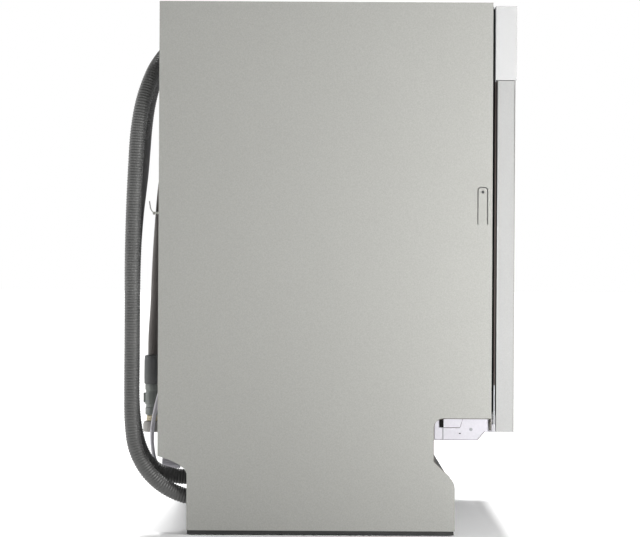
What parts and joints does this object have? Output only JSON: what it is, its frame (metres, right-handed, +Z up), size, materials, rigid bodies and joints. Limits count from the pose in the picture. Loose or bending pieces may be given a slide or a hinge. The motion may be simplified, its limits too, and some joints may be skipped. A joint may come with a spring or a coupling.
{
  "type": "built in dishwasher",
  "caption": "Fully integrated under-counter dishwasher with a drop-down door, two sliding racks, spray arms, adjustable feet and rear hoses and lead.",
  "frame": {"origin": "on the floor under the middle of the cabinet with its door, hoses left out of the measure", "axes": "+Z up, front and door towards -Y, +X to the right when seen from the front"},
  "size_m": [0.598, 0.6063, 0.82],
  "materials": {
    "panel_steel": "satin lacquered sheet steel with a fine metallic speckle",
    "galvanised": "bright galvanised sheet steel",
    "stainless": "brushed stainless sheet",
    "spring_steel": "drawn spring wire",
    "pale_fascia": "fine-textured pale moulding",
    "black_plastic": "black moulded plastic",
    "grey_plastic": "grey moulded plastic",
    "white_plastic": "natural white moulded plastic",
    "valve_plastic": "grey-green moulded plastic",
    "gasket_rubber": "dark rubber seal",
    "drain_hose_plastic": "corrugated grey plastic hose",
    "inlet_hose_rubber": "dark warm grey hose sheath",
    "rack_coating": "grey coated wire",
    "lead_sheath": "light grey cable sheath"
  },
  "bodies": {
    "cabinet": {"side_panel_left": "panel_steel", "side_panel_right": "panel_steel", "top_cover": "galvanised", "front_crossbar": "galvanised", "rear_panel": "galvanised", "hose_clip": "black_plastic", "base_tray": "black_plastic", "tub_wrap": "stainless", "tub_rear_wall": "stainless", "tub_floor": "stainless", "tub_gasket": "gasket_rubber", "spray_feed_pipe": "grey_plastic", "sump": "black_plastic", "circulation_pump": "grey_plastic", "drain_pump": "black_plastic", "water_softener": "white_plastic", "air_break_tank": "white_plastic", "inlet_valve": "valve_plastic", "terminal_box": "black_plastic", "hinge_bracket_left": "galvanised", "hinge_bracket_right": "galvanised", "door_spring_left": "spring_steel", "door_spring_right": "spring_steel", "drain_hose": "drain_hose_plastic", "drain_hose_end": "black_plastic", "inlet_hose": "inlet_hose_rubber", "inlet_coupling": "valve_plastic", "power_cord": "lead_sheath", "power_cord_coil": "lead_sheath", "mains_plug": "lead_sheath"},
    "foot_front_left": {"foot_front_left": "grey_plastic"},
    "foot_front_right": {"foot_front_right": "grey_plastic"},
    "foot_rear": {"foot_rear": "grey_plastic"},
    "rear_foot_rod": {"rear_foot_rod": "galvanised"},
    "door": {"door_outer_panel": "panel_steel", "door_fascia": "pale_fascia", "door_inner_liner": "stainless", "hinge_arm_left": "galvanised", "hinge_arm_right": "galvanised", "detergent_dispenser": "grey_plastic"},
    "latch": {"door_latch": "galvanised"},
    "dispenser_lid": {"dispenser_lid": "grey_plastic"},
    "rinse_cap": {"rinse_aid_cap": "black_plastic"},
    "power_button": {"power_button": "grey_plastic"},
    "program_button": {"program_button": "grey_plastic"},
    "start_button": {"start_button": "grey_plastic"},
    "upper_rails": {"upper_rail_left": "stainless", "upper_rail_right": "stainless"},
    "upper_rack": {"upper_rack": "rack_coating"},
    "upper_arm": {"upper_spray_arm": "grey_plastic"},
    "cup_shelf": {"cup_shelf": "rack_coating"},
    "lower_rack": {"lower_rack": "rack_coating"},
    "tines": {"folding_tines": "rack_coating"},
    "cutlery_basket": {"cutlery_basket": "grey_plastic"},
    "wheel_front_left": {"rack_wheel_front_left": "grey_plastic"},
    "wheel_rear_left": {"rack_wheel_rear_left": "grey_plastic"},
    "wheel_front_right": {"rack_wheel_front_right": "grey_plastic"},
    "wheel_rear_right": {"rack_wheel_rear_right": "grey_plastic"},
    "lower_arm": {"lower_spray_arm": "grey_plastic"},
    "filter": {"filter_cylinder": "grey_plastic"}
  },
  "joints": [
    {"name": "door_hinge", "type": "hinge", "parent": "cabinet", "child": "door", "pos_m": [0, -0.243, 0.168], "axis": [1, 0, 0], "range_deg": [0, 90]},
    {"name": "latch_pivot", "type": "hinge", "parent": "door", "child": "latch", "pos_m": [0, -0.262, 0.8045], "axis": [1, 0, 0], "range_deg": [0, 5], "stiffness_Nm_per_rad": 0.6, "springref_deg": -20.05},
    {"name": "dispenser_lid_slide", "type": "slide", "parent": "door", "child": "dispenser_lid", "axis": [-1, 0, 0], "range_m": [0, 0.085]},
    {"name": "rinse_cap_turn", "type": "hinge", "parent": "door", "child": "rinse_cap", "pos_m": [0.088, -0.222, 0.495], "axis": [0, 1, 0], "range_deg": [0, 90]},
    {"name": "power_button_press", "type": "slide", "parent": "door", "child": "power_button", "axis": [0, 0, -1], "range_m": [0, 0.0015], "stiffness_N_per_m": 900, "springref_m": -0.002},
    {"name": "program_button_press", "type": "slide", "parent": "door", "child": "program_button", "axis": [0, 0, -1], "range_m": [0, 0.0015], "stiffness_N_per_m": 900, "springref_m": -0.002},
    {"name": "start_button_press", "type": "slide", "parent": "door", "child": "start_button", "axis": [0, 0, -1], "range_m": [0, 0.0015], "stiffness_N_per_m": 900, "springref_m": -0.002},
    {"name": "upper_rails_slide", "type": "slide", "parent": "cabinet", "child": "upper_rails", "axis": [0, -1, 0], "range_m": [0, 0.3621]},
    {"name": "upper_rack_height", "type": "slide", "parent": "upper_rails", "child": "upper_rack", "axis": [0, 0, 1], "range_m": [0, 0.05]},
    {"name": "upper_arm_spin", "type": "hinge", "parent": "upper_rack", "child": "upper_arm", "pos_m": [0, -0.005, 0.484], "axis": [0, 0, 1], "continuous": true},
    {"name": "cup_shelf_fold", "type": "hinge", "parent": "upper_rack", "child": "cup_shelf", "pos_m": [-0.236, -0.045, 0.57], "axis": [0, -1, 0], "range_deg": [0, 90]},
    {"name": "lower_rack_slide", "type": "slide", "parent": "cabinet", "child": "lower_rack", "axis": [0, -1, 0], "range_m": [0, 0.139]},
    {"name": "tines_fold", "type": "hinge", "parent": "lower_rack", "child": "tines", "pos_m": [0, -0.06, 0.238], "axis": [-1, 0, 0], "range_deg": [0, 85]},
    {"name": "cutlery_basket_lift", "type": "slide", "parent": "lower_rack", "child": "cutlery_basket", "axis": [0, 0, 1], "range_m": [0, 0.1]},
    {"name": "wheel_front_left_spin", "type": "hinge", "parent": "lower_rack", "child": "wheel_front_left", "pos_m": [-0.246, -0.128, 0.205], "axis": [1, 0, 0], "continuous": true},
    {"name": "wheel_rear_left_spin", "type": "hinge", "parent": "lower_rack", "child": "wheel_rear_left", "pos_m": [-0.246, 0.12, 0.205], "axis": [1, 0, 0], "continuous": true},
    {"name": "wheel_front_right_spin", "type": "hinge", "parent": "lower_rack", "child": "wheel_front_right", "pos_m": [0.246, -0.128, 0.205], "axis": [1, 0, 0], "continuous": true},
    {"name": "wheel_rear_right_spin", "type": "hinge", "parent": "lower_rack", "child": "wheel_rear_right", "pos_m": [0.246, 0.12, 0.205], "axis": [1, 0, 0], "continuous": true},
    {"name": "lower_arm_spin", "type": "hinge", "parent": "cabinet", "child": "lower_arm", "pos_m": [0, -0.005, 0.2], "axis": [0, 0, 1], "continuous": true},
    {"name": "filter_twist", "type": "hinge", "parent": "cabinet", "child": "filter", "pos_m": [0.07, -0.095, 0.15], "axis": [0, 0, 1], "range_deg": [0, 90]},
    {"name": "foot_front_left_screw", "type": "slide", "parent": "cabinet", "child": "foot_front_left", "axis": [0, 0, -1], "range_m": [0, 0.05]},
    {"name": "foot_front_right_screw", "type": "slide", "parent": "cabinet", "child": "foot_front_right", "axis": [0, 0, -1], "range_m": [0, 0.05]},
    {"name": "rear_foot_rod_turn", "type": "hinge", "parent": "cabinet", "child": "rear_foot_rod", "pos_m": [0, 0, 0.03], "axis": [0, 1, 0], "range_deg": [0, 3605]},
    {"name": "foot_rear_screw", "type": "slide", "parent": "cabinet", "child": "foot_rear", "axis": [0, 0, -1], "range_m": [0, 0.025]}
  ],
  "couplings": [
    {"joint": "upper_rails_slide", "follows": "door_hinge", "m_per_rad": 0.2292},
    {"joint": "lower_rack_slide", "follows": "door_hinge", "m_per_rad": 0.088},
    {"joint": "rear_foot_rod_turn", "follows": "foot_rear_screw", "rad_per_m": 2513.3}
  ]
}
